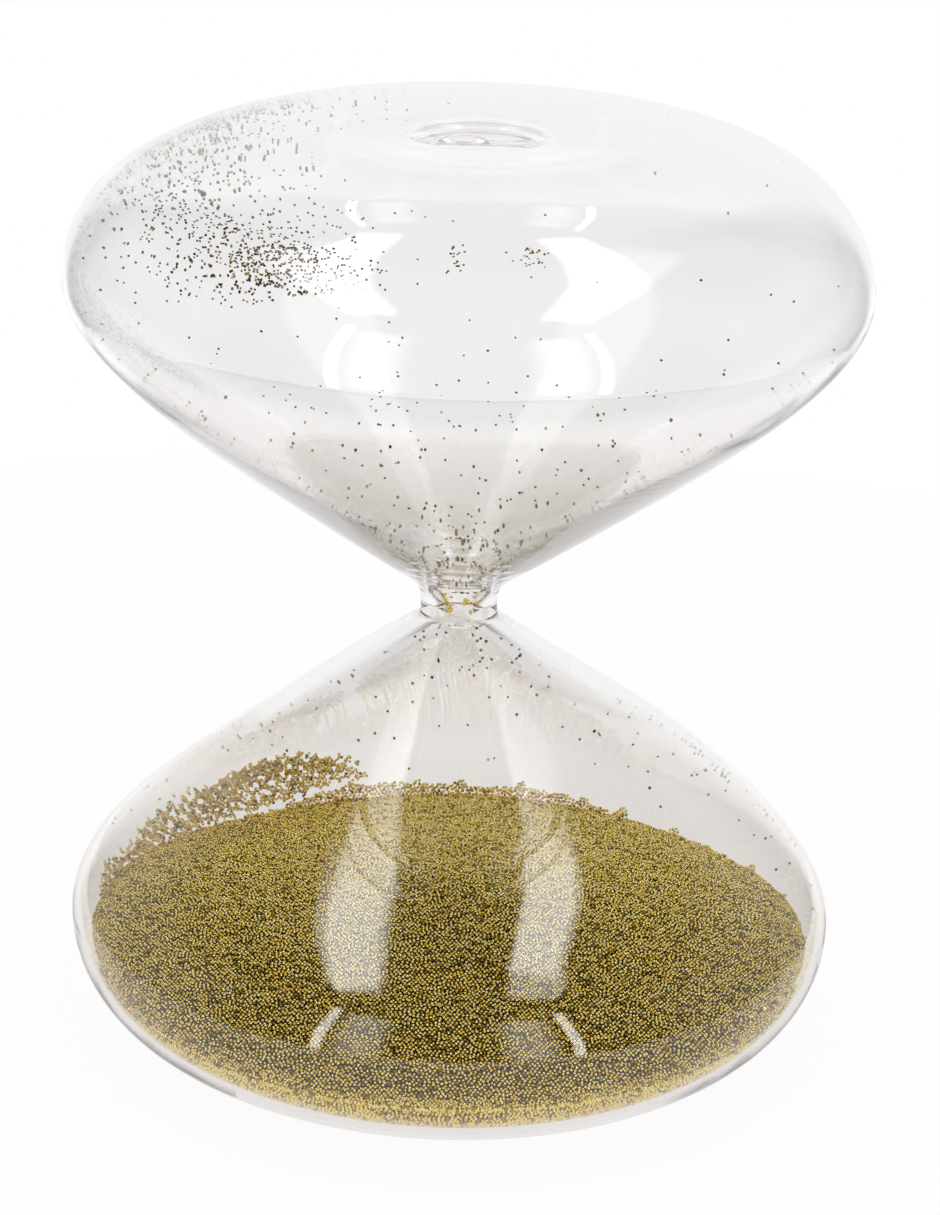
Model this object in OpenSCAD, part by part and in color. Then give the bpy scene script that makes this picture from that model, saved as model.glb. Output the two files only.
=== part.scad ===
// Frameless blown-glass hourglass with a charge of fine gold beads, all run down into the lower bulb.
// Origin: middle of the flat ring that the glass stands on, +Z up along the axis of the glass.
// +Y is the back, where the drift of clinging beads lies.

/* [Upper bulb] */
// Outside diameter at the widest circle
upper_d = 146; // [136:1:156]
// Height from the middle of the neck to the top ring
upper_h = 89; // [85:1:94]
// Height of the widest circle above the middle of the neck
upper_equator = 62.5; // [59:0.5:66]
// Radius of the outside curve between the neck and the funnel
upper_fillet = 5.7; // [4:0.1:7]

/* [Lower bulb] */
// Outside diameter at the widest circle
lower_d = 143; // [134:1:152]
// Height from the standing ring to the middle of the neck
lower_h = 86; // [82:1:91]
// Depth of the widest circle below the middle of the neck
lower_equator = 60.5; // [57:0.5:64]
// Radius of the outside curve between the neck and the shoulder
lower_fillet = 2; // [1.5:0.1:3.5]

/* [Shape of both bulbs] */
// Angle of the funnel wall where it leaves the neck, from the horizontal
flank_angle = 35; // [33:0.5:37]
// Length over which the funnel wall keeps that direction
flank_pull = 61; // [56:1:64]
// Roundness between the funnel wall and the widest circle
under_pull = 9.5; // [8:0.5:12]
// Roundness between the widest circle and the crown
over_pull = 12; // [9:0.5:15]
// Length over which the crown stays flat outside the ring
crown_pull = 31.5; // [26:0.5:36]

/* [Glass thickness] */
// Wall at the widest circle
wall = 1.5; // [1.2:0.1:2]
// Wall where the funnel leaves the neck
neck_wall = 2.7; // [2.5:0.1:3.2]
// Wall where the lower shoulder leaves the neck
shoulder_wall = 4.4; // [4:0.1:4.8]
// Wall under the ring and the punt
crown_wall = 1.9; // [1.5:0.1:2.4]

/* [Neck] */
// Outside diameter of the neck
neck_d = 14.2; // [13.6:0.2:15]
// Half height of the straight outside of the neck
neck_land = 1; // [0.6:0.1:1.4]
// Diameter of the orifice that the beads run through
throat_d = 5.6; // [5:0.1:6]
// Depth of the orifice's upper edge below the neck's middle
throat_drop = 1.2; // [0.8:0.1:1.5]
// Length of the straight part of the orifice
throat_land = 0.4; // [0.3:0.05:0.6]
// Height above and below the neck's middle where the bulbs are fused on
weld_h = 10; // [8:0.5:12]

/* [Ring and punt] */
// Diameter of the ring that the glass stands on
ring_d = 59; // [54:1:64]
// Width of the flat that wear and fire polishing leave on the ring
ring_land = 1; // [0.6:0.1:1.6]
// Depth of the punt, the hollow inside the ring
punt_depth = 1; // [0.6:0.1:1.6]
// Diameter of the round recess around the seal
recess_d = 26.6; // [24:0.2:30]
// Depth of that recess below the punt
recess_depth = 1.6; // [1:0.1:2]
// Width of the sloping side of the recess
recess_side = 1.1; // [0.8:0.1:1.6]

/* [Filling seal] */
// Diameter of the filling hole
fill_d = 4; // [3:0.2:5]
// Diameter of the melted button that closes it
seal_d = 9; // [8:0.2:11]
// Height of the button
seal_h = 1.5; // [1:0.1:1.8]
// Distance of the hole from the axis, to the left
seal_offset = 3; // [0:0.5:4]

/* [Beads] */
// Diameter of one bead
bead_d = 0.8; // [0.6:0.05:1]
// Gap between the bead charge and the glass
bead_gap = 0.2; // [0.15:0.05:0.3]
// Depth of the rim of the heap below the widest circle
heap_below = 7; // [4:0.5:10]
// Height of the middle of the heap above its rim
mound_h = 12; // [8:0.5:16]
// Radius of the rounded top of the heap
mound_round = 16; // [10:1:24]
// Lean of the heap, higher at the back
heap_lean = 1.5; // [0:0.5:3]
// Slope of the old bead level that the drift on the wall marks
drift_slope = 46; // [40:1:50]
// Direction in which that level rises, counted from +X
drift_azimuth = 128; // [115:1:150]
// Height of the drift's crest below the widest circle, negative above it
drift_crest = -6.5; // [-8:0.5:-4]
// Thickness of the drift
drift_t = 0.9; // [0.8:0.1:1.6]
// Gap between a clinging bead and the glass
cling_gap = 0.05; // [0.02:0.01:0.1]
// Beads clinging to the upper bulb
upper_count = 72; // [40:1:90]
// Beads clinging to the shoulder of the lower bulb
lower_count = 26; // [12:1:40]
// Beads resting on the lip of the orifice
lip_count = 13; // [8:1:14]

/* [Hidden] */
$fn = 96;
eps = 0.01;
STEPS = 22; // points on each of a bulb's two long curves
ROUND = 6; // points on each fillet
TOP = [upper_d, upper_h, upper_equator, upper_fillet, recess_depth, neck_wall];
LOW = [lower_d, lower_h, lower_equator, lower_fillet, 0, shoulder_wall];
neck_z = lower_h;
ring_r = ring_d / 2;
ring_out = ring_r + ring_land / 2;
ring_in = ring_r - ring_land / 2;
throat_r = throat_d / 2;
bead_r = bead_d / 2;
rim_z = -lower_equator - heap_below;
cavity_r = lower_d / 2 - wall - bead_gap;
big = upper_d + lower_d;
GOLDEN_ANGLE = 137.5; // spreads beads evenly round a spiral
// Two fractions whose multiples never bunch up: they scatter beads without letting two touch
SCATTER = [0.7548777, 0.5698403];

GLASS = [0.93, 0.93, 0.94, 0.35];
THICK_GLASS = [0.80, 0.84, 0.86, 0.55];
GOLD = [0.62, 0.50, 0.20];
DARK_GOLD = [0.50, 0.40, 0.14];

// ---- curves: a bulb is [diameter, height, equator, fillet, recess, neck wall], drawn upwards from the neck ----

function mix(a, b, t) = a + (b - a) * t;
function along(angle) = [cos(angle), sin(angle)];
function inward(v) = [-v[1], v[0]] / norm(v);

// A cubic curve between two points with two pulls, and its direction
function curve(p, t) =
    pow(1 - t, 3) * p[0] + 3 * pow(1 - t, 2) * t * p[1] + 3 * (1 - t) * t * t * p[2] + pow(t, 3) * p[3];
function heading(p, t) =
    pow(1 - t, 2) * (p[1] - p[0]) + 2 * (1 - t) * t * (p[2] - p[1]) + t * t * (p[3] - p[2]);

// An arc that turns from straight up to the funnel's direction, starting at a point
function bend(from, radius) =
    [for (i = [0:ROUND]) let (a = 90 - i / ROUND * (90 - flank_angle))
        from + radius * [1 - sin(a), cos(a)]];

function flank_foot(bulb) =
    [neck_d / 2, neck_land] + bulb[3] * [1 - sin(flank_angle), cos(flank_angle)];
function flank(bulb) =
    let (foot = flank_foot(bulb), rim = [bulb[0] / 2, bulb[2]])
    [foot, foot + flank_pull * along(flank_angle), rim - [0, under_pull], rim];
function crown(bulb) =
    let (rim = [bulb[0] / 2, bulb[2]], crest = [ring_out, bulb[1]])
    [rim, rim + [0, over_pull], crest + [crown_pull, 0], crest];

// Wall thickness: thick at the neck, thin at the equator, thicker again under the ring
function flank_wall(bulb, t) = mix(wall, bulb[5], pow(1 - t, 3));
function crown_wall_at(t) = mix(wall, crown_wall, t * t);

// Points on the inside of the wall, extra further in
function inside_flank(bulb, t, extra) =
    curve(flank(bulb), t) + inward(heading(flank(bulb), t)) * (flank_wall(bulb, t) + extra);
function inside_crown(bulb, t, extra) =
    curve(crown(bulb), t) + inward(heading(crown(bulb), t)) * (crown_wall_at(t) + extra);

// Height of the punt below the ring at radius r, and of the recess in it
function punt(r) = punt_depth * (1 + cos(180 * min(1, r / ring_in))) / 2;
function recess_floor(bulb) = bulb[1] - punt(recess_d / 2) - bulb[4];

function outer_curve(bulb) = concat(
    bend([neck_d / 2, neck_land], bulb[3]),
    [for (i = [1:STEPS]) curve(flank(bulb), i / STEPS)],
    [for (i = [1:STEPS]) curve(crown(bulb), i / STEPS)]
);
function punt_curve(bulb) = bulb[4] > 0
    ? concat(
        [for (i = [0:ROUND]) let (r = mix(ring_in, recess_d / 2, i / ROUND)) [r, bulb[1] - punt(r)]],
        [[recess_d / 2 - recess_side, recess_floor(bulb)], [0, recess_floor(bulb)]])
    : [for (i = [0:2 * ROUND]) let (r = ring_in * (1 - i / ROUND / 2)) [r, bulb[1] - punt(r)]];

// The inside of the neck: a fillet from the orifice to the line of the funnel's inside wall.
// The orifice's edge on the bulb's side of the neck lies lip_z beyond the neck's middle.
function lip_z(bulb) = bulb == TOP ? -throat_drop : throat_drop + throat_land;
function lip_slope_z(bulb) =
    let (wall_foot = inside_flank(bulb, 0, 0))
    wall_foot[1] - (wall_foot[0] - throat_r) * tan(flank_angle);
function lip_round(bulb) = (lip_slope_z(bulb) - lip_z(bulb)) / tan((90 - flank_angle) / 2);

function inner_curve(bulb, extra) = concat(
    [for (i = [1:STEPS]) inside_flank(bulb, i / STEPS, extra)],
    [for (i = [1:STEPS - 1]) inside_crown(bulb, i / STEPS, extra)]
);

// The inside under the ring follows the punt, and steps down under the recess
function inner_end(bulb, extra) =
    let (edge = inner_curve(bulb, extra), step_r = recess_d / 2)
    let (last = edge[len(edge) - 1][0], floor_z = bulb[1] - crown_wall - extra)
    bulb[4] > 0
        ? concat(
            [for (i = [1:ROUND]) let (r = mix(last, step_r, i / ROUND)) [r, floor_z - punt(r)]],
            [for (r = [step_r - recess_side, 0]) [r, recess_floor(bulb) - crown_wall - extra]])
        : [for (i = [1:2 * ROUND]) let (r = last * (1 - i / ROUND / 2)) [r, floor_z - punt(r)]];

// ---- glass ----

// A bulb's wall from neck to axis: the outside, and the inside from the orifice
function outside(bulb) =
    concat([[neck_d / 2, 0]], outer_curve(bulb), [[ring_in, bulb[1]]], punt_curve(bulb));
function inside(bulb) =
    concat(bend([throat_r, lip_z(bulb)], lip_round(bulb)), inner_curve(bulb, 0), inner_end(bulb, 0));
function backwards(points) = [for (i = [len(points) - 1:-1:0]) points[i]];
function upside_down(points) = [for (p = points) [p[0], -p[1]]];

// The outline of the glass of both bulbs, with the neck's middle at 0
module glass_outline() {
    polygon(concat(
        outside(TOP), backwards(inside(TOP)), upside_down(inside(LOW)), backwards(upside_down(outside(LOW)))));
}

// The space inside a bulb, drawn smaller by extra
module cavity(bulb, extra) {
    lip = [throat_r, weld_h];
    rotate_extrude()
        polygon(concat([[0, weld_h], lip], inner_curve(bulb, extra), inner_end(bulb, extra)));
}

// The glass between two heights
module glass_between(low, high) {
    rotate_extrude()
        intersection() {
            glass_outline();
            translate([0, low])
                square([big, high - low]);
        }
}

module at_neck() {
    translate([0, 0, neck_z])
        children();
}

module below_neck() {
    at_neck()
        mirror([0, 0, 1])
            children();
}

module filling_hole() {
    translate([-seal_offset, 0, recess_floor(TOP) - 2 * crown_wall])
        cylinder(d = fill_d, h = 2 * crown_wall + eps);
}

module upper_bulb() {
    color(GLASS)
        at_neck()
            difference() {
                glass_between(weld_h, upper_h);
                filling_hole();
            }
}

module throat() {
    color(THICK_GLASS)
        at_neck()
            glass_between(-weld_h, weld_h);
}

module lower_bulb() {
    color(GLASS)
        at_neck()
            glass_between(-lower_h, -weld_h);
}

// A melted button with a short plug in the filling hole
module filling_seal() {
    cap = seal_d / 2;
    dome = (cap * cap + seal_h * seal_h) / (2 * seal_h);
    color(THICK_GLASS)
        at_neck()
            translate([-seal_offset, 0, recess_floor(TOP)]) {
                intersection() {
                    translate([0, 0, seal_h - dome])
                        sphere(r = dome);
                    cylinder(r = cap, h = seal_h);
                }
                translate([0, 0, -crown_wall])
                    cylinder(d = fill_d, h = crown_wall + eps);
            }
}

// ---- beads ----

// Everything under the top of the heap: a rounded cone that leans forward
module under_mound() {
    rise = mound_h / (sqrt(cavity_r * cavity_r + mound_round * mound_round) - mound_round);
    edge = sqrt(cavity_r * cavity_r + mound_round * mound_round);
    top = [for (i = [0:10]) let (r = cavity_r * 1.15 * i / 10)
        [r, rise * (edge - sqrt(r * r + mound_round * mound_round))]];
    at_neck()
        translate([0, 0, rim_z])
            rotate([heap_lean, 0, 0])
                rotate_extrude()
                    polygon(concat(top, [[cavity_r * 1.15, -lower_h], [0, -lower_h]]));
}

module bead_heap() {
    color(GOLD)
        intersection() {
            below_neck()
                cavity(LOW, bead_gap);
            under_mound();
        }
}

// Beads left on the wall by an earlier, steeper level: a shell one bead thick above the heap
module bead_drift() {
    reach = [cos(drift_azimuth), sin(drift_azimuth)] * cavity_r;
    color(DARK_GOLD)
        difference() {
            intersection() {
                difference() {
                    below_neck()
                        cavity(LOW, bead_gap);
                    below_neck()
                        cavity(LOW, bead_gap + drift_t);
                }
                at_neck()
                    translate([reach[0], reach[1], -lower_equator - drift_crest])
                        rotate([0, 0, drift_azimuth])
                            rotate([0, -drift_slope, 0])
                                translate([-big, -big / 2, -big])
                                    cube([2 * big, big, big]);
            }
            under_mound();
        }
}

module bead(at) {
    translate(at)
        sphere(d = bead_d, $fn = 24);
}

// A place near the wall of a bulb or the neck, in the bulb's own frame
function on_wall(p, azimuth) = [p[0] * cos(azimuth), p[0] * sin(azimuth), p[1]];
function cling(bulb, t, azimuth) = on_wall(
    t < 1 ? inside_flank(bulb, t, bead_r + cling_gap) : inside_crown(bulb, t - 1, bead_r + cling_gap),
    azimuth);

function part_of_one(x) = x - floor(x);
function scatter(i, axis) = part_of_one(0.5 + i * SCATTER[axis]);

// Two thirds of the beads hang in a patch at the back left, the rest all over
module upper_clinging_beads() {
    patch = floor(upper_count * 2 / 3);
    color(DARK_GOLD)
        at_neck()
            for (i = [0:upper_count - 1])
                bead(i < patch
                    ? cling(TOP, mix(0.58, 1.5, pow(scatter(i, 0), 1.6)), mix(104, 164, scatter(i, 1)))
                    : cling(TOP, mix(0.08, 1.3, scatter(i, 0)), 180 + 280 * (scatter(i, 1) - 0.5)));
}

module lower_clinging_beads() {
    color(DARK_GOLD)
        below_neck()
            for (i = [0:lower_count - 1])
                bead(cling(LOW, mix(0.06, 0.5, scatter(i, 0)), 360 * scatter(i, 1)));
}

// Beads that came to rest in a broken spiral on the inside of the neck, above the orifice
module lip_beads() {
    centre = [throat_r + lip_round(TOP), lip_z(TOP)];
    color(GOLD)
        at_neck()
            for (i = [0:lip_count - 1]) {
                a = 90 - mix(0.08, 0.5, i / (lip_count - 1)) * (90 - flank_angle);
                at = centre + (lip_round(TOP) + bead_r + cling_gap) * [-sin(a), cos(a)];
                bead(on_wall(at, 200 + GOLDEN_ANGLE * i));
            }
}

// One bead stuck to the right side of the orifice, free to drop on to the heap
module loose_bead() {
    color(GOLD)
        at_neck()
            bead([throat_r - bead_r - cling_gap, 0, -throat_drop - throat_land / 2]);
}

upper_bulb();
throat();
lower_bulb();
filling_seal();
bead_heap();
bead_drift();
upper_clinging_beads();
lower_clinging_beads();
lip_beads();
loose_bead();
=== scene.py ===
"""Frameless blown-glass hourglass with a charge of gold-coated beads, on a round white table."""

import logging
import math
from collections.abc import Callable, Sequence
from dataclasses import dataclass, field, replace
from enum import Enum
from itertools import product

import bpy
import numpy as np
from bpy.types import Light, Material, Node, NodeSocket, Object, World
from mathutils import Matrix, Vector
from numpy.random import Generator, default_rng

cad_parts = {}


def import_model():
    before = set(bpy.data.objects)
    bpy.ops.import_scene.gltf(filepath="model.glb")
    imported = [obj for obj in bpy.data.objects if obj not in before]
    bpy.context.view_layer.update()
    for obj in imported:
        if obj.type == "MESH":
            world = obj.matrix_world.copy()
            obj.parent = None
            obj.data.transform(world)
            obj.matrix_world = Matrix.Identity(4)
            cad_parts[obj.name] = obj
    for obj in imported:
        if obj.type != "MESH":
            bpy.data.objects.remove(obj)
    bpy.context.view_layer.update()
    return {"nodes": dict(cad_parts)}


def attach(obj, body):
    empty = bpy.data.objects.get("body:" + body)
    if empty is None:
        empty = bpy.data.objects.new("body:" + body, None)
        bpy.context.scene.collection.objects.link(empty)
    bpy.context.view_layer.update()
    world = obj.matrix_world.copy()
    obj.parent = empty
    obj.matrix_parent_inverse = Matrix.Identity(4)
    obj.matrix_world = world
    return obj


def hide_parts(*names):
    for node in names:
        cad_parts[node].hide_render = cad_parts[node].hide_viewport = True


log = logging.getLogger("hourglass")

TURN = 2 * math.pi
TINY = 1e-9

Array = np.ndarray
Span = tuple[float, float]
Colour = tuple[float, float, float, float]

WHITE: Colour = (1.0, 1.0, 1.0, 1.0)
BLACK: Colour = (0.0, 0.0, 0.0, 1.0)
NONE_OR_SOME: Span = (0.4, 0.6)


class Body(str, Enum):
    """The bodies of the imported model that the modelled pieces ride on."""

    GLASS = "glass"
    CHARGE = "bead_charge"


class Ray(str, Enum):
    """Kinds of ray that a finish may tell apart."""

    CAMERA = "Is Camera Ray"
    GLOSSY = "Is Glossy Ray"
    TRANSMISSION = "Is Transmission Ray"


# ---- curves ----


def cubic(points: Array, t: Array, aside: Array | float = 0.0) -> Array:
    """Points of a cubic curve, or beside it.

    Args:
        points: The curve's end, two pulls and other end, one per row.
        t: Shares of the curve, from 0 to 1.
        aside: How far to the left of the curve each point lies.

    Returns:
        One point per share.
    """
    a, b, c, d = points
    t = t[:, None]
    u = 1 - t
    on = u**3 * a + 3 * u * u * t * b + 3 * u * t * t * c + t**3 * d
    return on + left(u * u * (b - a) + 2 * u * t * (c - b) + t * t * (d - c), aside)


def left(way: Array, far: Array | float) -> Array:
    """Steps of these lengths to the left of these directions."""
    way = way / np.linalg.norm(way, axis=1, keepdims=True)
    return np.column_stack([-way[:, 1] * far, way[:, 0] * far])


def smooth_step(x: Array, low: float, high: float) -> Array:
    """A soft step of x from 0 at low to 1 at high."""
    t = np.clip((x - low) / (high - low), 0, 1)
    return t * t * (3 - 2 * t)


def hump(x: Array, middle: float, reach: float) -> Array:
    """A bell of height 1 round a middle, which fades out to 0 at the reach."""
    t = np.clip(np.abs(x - middle) / reach, 0, 1)
    return (1 - t * t) ** 2


def across(points: Array) -> Array:
    """How far from the axis each point is."""
    return np.hypot(points[:, 0], points[:, 1])


def direction(points: Array) -> Array:
    """The angle round the axis at which each point is."""
    return np.arctan2(points[:, 1], points[:, 0])


def bearing(points: Array) -> Array:
    """The same angle in degrees, from 0 to 360."""
    return np.degrees(direction(points)) % 360


def around(r: Array | float, angle: Array, z: Array | float) -> Array:
    """The points with these distances from the axis, angles round it and heights."""
    return np.column_stack([r * np.cos(angle), r * np.sin(angle), z + 0 * angle])


@dataclass(frozen=True)
class Wave:
    """A sine wave over a surface round the axis, with its phase per angle and per height."""

    size: float
    turn: float
    climb: float = 0.0
    start: float = 0.0


def waved(waves: Sequence[Wave], angle: Array, height: Array | float = 0.0) -> Array:
    """The sum of waves at each angle and height."""
    return sum(w.size * np.sin(w.turn * angle + w.climb * height + w.start) for w in waves)


@dataclass(frozen=True)
class Bulb:
    """Sizes of one blown bulb, measured from the middle of the neck, in metres."""

    radius: float
    height: float
    equator: float
    fillet: float
    neck_wall: float
    lip: float
    recess: float


@dataclass(frozen=True)
class GlassShape:
    """The outline of the glass, in metres: r across and z away from the middle of the neck."""

    upper: Bulb = Bulb(0.073, 0.089, 0.0625, 0.0057, 0.0027, -0.0012, 0.0016)
    lower: Bulb = Bulb(0.0715, 0.086, 0.0605, 0.0014, 0.0040, 0.0016, 0.0)
    slope: float = math.radians(35)
    flank_pull: float = 0.061
    under_pull: float = 0.0095
    over_pull: float = 0.012
    crown_pull: float = 0.0315
    wall: float = 0.0015
    crown_wall: float = 0.0019
    neck_radius: float = 0.0071
    neck_land: float = 0.001
    throat_radius: float = 0.0028
    ring_radius: float = 0.0295
    ring_land: float = 0.001
    punt_depth: float = 0.001
    recess_radius: float = 0.0133
    recess_side: float = 0.003
    recess_spread: float = 0.0004
    belly_sway: tuple[float, float, float] = (0.0017, -0.031, 0.021)
    crown_sway: tuple[float, float, float] = (0.0013, 0.076, 0.088)
    neck_z: float = 0.086
    flank_steps: int = 46
    crown_steps: int = 40
    bend_steps: int = 12
    punt_steps: int = 14
    foot_steps: int = 4
    floor_step: float = 0.0004

    def flank(self, bulb: Bulb) -> Array:
        """The cubic from the neck's fillet to the widest circle."""
        foot = np.array([self.neck_radius, self.neck_land]) + bulb.fillet * np.array(
            [1 - math.sin(self.slope), math.cos(self.slope)]
        )
        rim = np.array([bulb.radius, bulb.equator])
        along = np.array([math.cos(self.slope), math.sin(self.slope)])
        return np.array([foot, foot + self.flank_pull * along, rim - [0, self.under_pull], rim])

    def crown(self, bulb: Bulb) -> Array:
        """The cubic from the widest circle to the ring."""
        rim = np.array([bulb.radius, bulb.equator])
        crest = np.array([self.ring_radius + self.ring_land / 2, bulb.height])
        return np.array([rim, rim + [0, self.over_pull], crest + [self.crown_pull, 0], crest])

    def bend(self, start: Sequence[float], radius: float) -> Array:
        """Points of an arc that turns from straight up to the funnel's slope."""
        a = np.linspace(math.pi / 2, self.slope, self.bend_steps)
        return np.asarray(start) + radius * np.column_stack([1 - np.sin(a), np.cos(a)])

    def punt(self, r: Array) -> Array:
        """Depth of the punt inside the ring at radius r."""
        inside = np.clip(r / (self.ring_radius - self.ring_land / 2), 0, 1)
        return self.punt_depth * (1 + np.cos(math.pi * inside)) / 2

    def recess_edge(self, below: float) -> float:
        """The recess's radius on the outer surface, or on the inner one, under the wall."""
        return self.recess_radius + (self.recess_spread if below else 0.0)

    def under_ring(self, bulb: Bulb, start: float, below: float) -> Array:
        """The outline of the punt and its recess, from a radius to the axis.

        Args:
            bulb: The bulb.
            start: The radius.
            below: How far under the outer surface the outline runs.

        Returns:
            Radius and height of each point.
        """
        edge = self.recess_edge(below) if bulb.recess else 0.0
        r = np.linspace(start, edge, self.punt_steps)
        punt = np.column_stack([r, bulb.height - below - self.punt(r)])
        if not bulb.recess:
            return punt
        step = self.floor_step
        r = np.append(np.arange(edge - step / 2, step / 4, -step), 0)
        drop = bulb.recess * smooth_step(edge - r, 0, self.recess_side)
        return np.vstack([punt, np.column_stack([r, punt[-1, 1] - drop])])

    def outside(self, bulb: Bulb) -> Array:
        """The outer outline of a bulb from the middle of the neck to the axis."""
        flank = cubic(self.flank(bulb), np.linspace(0, 1, self.flank_steps)[1:])
        crown = cubic(self.crown(bulb), np.linspace(0, 1, self.crown_steps)[1:])
        neck = self.bend([self.neck_radius, self.neck_land], bulb.fillet)
        end = self.under_ring(bulb, self.ring_radius - self.ring_land / 2, 0.0)
        return np.vstack([[[self.neck_radius, 0.0]], neck, flank, crown, end])

    def flank_inside(self, bulb: Bulb, t: Array) -> Array:
        """Points on the inner wall of the funnel."""
        thick = self.wall + (bulb.neck_wall - self.wall) * (1 - t) ** 3
        return cubic(self.flank(bulb), t, thick)

    def crown_inside(self, bulb: Bulb, t: Array) -> Array:
        """Points on the inner wall of the crown."""
        thick = self.wall + (self.crown_wall - self.wall) * t * t
        return cubic(self.crown(bulb), t, thick)

    def neck_inside(self, bulb: Bulb) -> Array:
        """The inner outline from the orifice to the funnel's foot: a fillet, then a slope."""
        foot = self.flank_inside(bulb, np.zeros(1))[0]
        slope_z = foot[1] - (foot[0] - self.throat_radius) * math.tan(self.slope)
        radius = (slope_z - bulb.lip) / math.tan((math.pi / 2 - self.slope) / 2)
        arc = self.bend([self.throat_radius, bulb.lip], radius)
        slope = np.linspace(arc[-1], foot, self.foot_steps)[1:]
        return np.vstack([arc, slope])

    def inside(self, bulb: Bulb) -> Array:
        """The inner outline of a bulb from its side of the orifice to the axis."""
        flank = self.flank_inside(bulb, np.linspace(0, 1, self.flank_steps)[1:])
        crown = self.crown_inside(bulb, np.linspace(0, 1, self.crown_steps)[1:])
        end = self.under_ring(bulb, crown[-1, 0], self.crown_wall)
        return np.vstack([self.neck_inside(bulb), flank, crown, end[1:]])

    def beside(self, bulb: Bulb, gap: float) -> Array:
        """The inner outline of a bulb, moved off the glass by a gap."""
        line = self.inside(bulb)
        return np.maximum(line + left(np.gradient(line, axis=0), gap), [0.0, -1.0])

    def whole(self, outline: Callable[[Bulb], Array]) -> Array:
        """An outline of both bulbs in the row frame, from the top of the axis to its foot.

        Args:
            outline: The method that gives one bulb's outline from the neck to the axis.

        Returns:
            Radius and height of each point.
        """
        top = outline(self.upper)[::-1]
        low = outline(self.lower) * [1, -1]
        if np.allclose(top[-1], low[0]):
            low = low[1:]
        return np.vstack([top, low]) + [0, self.neck_z]

    def sway(self, z: Array) -> Array:
        """How far to the right the glass-blower's hand left each height, z in the row frame."""
        height = z - self.neck_z
        (belly, middle, reach), (crown, low, high) = self.belly_sway, self.crown_sway
        return belly * hump(height, middle, reach) + crown * smooth_step(height, low, high)


# ---- meshes ----


def deselect() -> None:
    """Leaves nothing selected, in object mode."""
    if bpy.context.object and bpy.context.object.mode != "OBJECT":
        bpy.ops.object.mode_set(mode="OBJECT")
    bpy.ops.object.select_all(action="DESELECT")


def added(operator: Callable, **settings: object) -> Object:
    """The object that one of Blender's add operators makes."""
    deselect()
    operator(**settings)
    return bpy.context.object


def corners(obj: Object) -> Array:
    """The vertices of a mesh object, one per row."""
    found = np.empty(len(obj.data.vertices) * 3)
    obj.data.vertices.foreach_get("co", found)
    return found.reshape(-1, 3)


def place(obj: Object, points: Array) -> None:
    """Moves the vertices of a mesh object to these points."""
    obj.data.vertices.foreach_set("co", np.asarray(points, np.float32).ravel())
    obj.data.update()


def spun(name: str, outline: Array, turns: int) -> Object:
    """A closed shell of revolution, spun from an outline that starts and ends on the axis.

    Args:
        name: The object's name.
        outline: Radius and height of each point.
        turns: How many steps go round the axis.

    Returns:
        The shell, with its faces outwards.
    """
    obj = added(bpy.ops.mesh.primitive_circle_add, vertices=len(outline))
    obj.name = obj.data.name = name
    place(obj, np.column_stack([outline[:, 0], np.zeros(len(outline)), outline[:, 1]]))
    on_axis = {0, len(outline) - 1}
    bpy.ops.object.mode_set(mode="EDIT")
    bpy.ops.mesh.select_mode(type="EDGE")
    bpy.ops.mesh.select_all(action="DESELECT")
    bpy.ops.object.mode_set(mode="OBJECT")
    for edge in obj.data.edges:
        edge.select = set(edge.vertices) == on_axis
    bpy.ops.object.mode_set(mode="EDIT")
    bpy.ops.mesh.delete(type="EDGE")
    bpy.ops.mesh.select_all(action="SELECT")
    bpy.ops.mesh.spin(steps=turns, angle=TURN, center=(0, 0, 0), axis=(0, 0, 1))
    bpy.ops.mesh.select_all(action="SELECT")
    bpy.ops.mesh.remove_doubles(threshold=1e-7)
    bpy.ops.mesh.normals_make_consistent(inside=False)
    bpy.ops.object.mode_set(mode="OBJECT")
    return obj


def pick(first: Object, *others: Object) -> None:
    """Selects these objects alone, with the first one active."""
    deselect()
    for obj in (first, *others):
        obj.select_set(True)
    bpy.context.view_layer.objects.active = first


def turn_inside_out(obj: Object) -> None:
    """Flips every face of a mesh object."""
    pick(obj)
    bpy.ops.object.mode_set(mode="EDIT")
    bpy.ops.mesh.select_all(action="SELECT")
    bpy.ops.mesh.flip_normals()
    bpy.ops.object.mode_set(mode="OBJECT")


def joined(first: Object, *others: Object) -> Object:
    """Joins other mesh objects into the first."""
    pick(first, *others)
    bpy.ops.object.join()
    return first


def shade_smooth(obj: Object) -> None:
    """Gives a mesh object smooth shading all over."""
    pick(obj)
    bpy.ops.object.shade_smooth()


# ---- shader maths ----

Value = "Socket | float"


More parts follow.
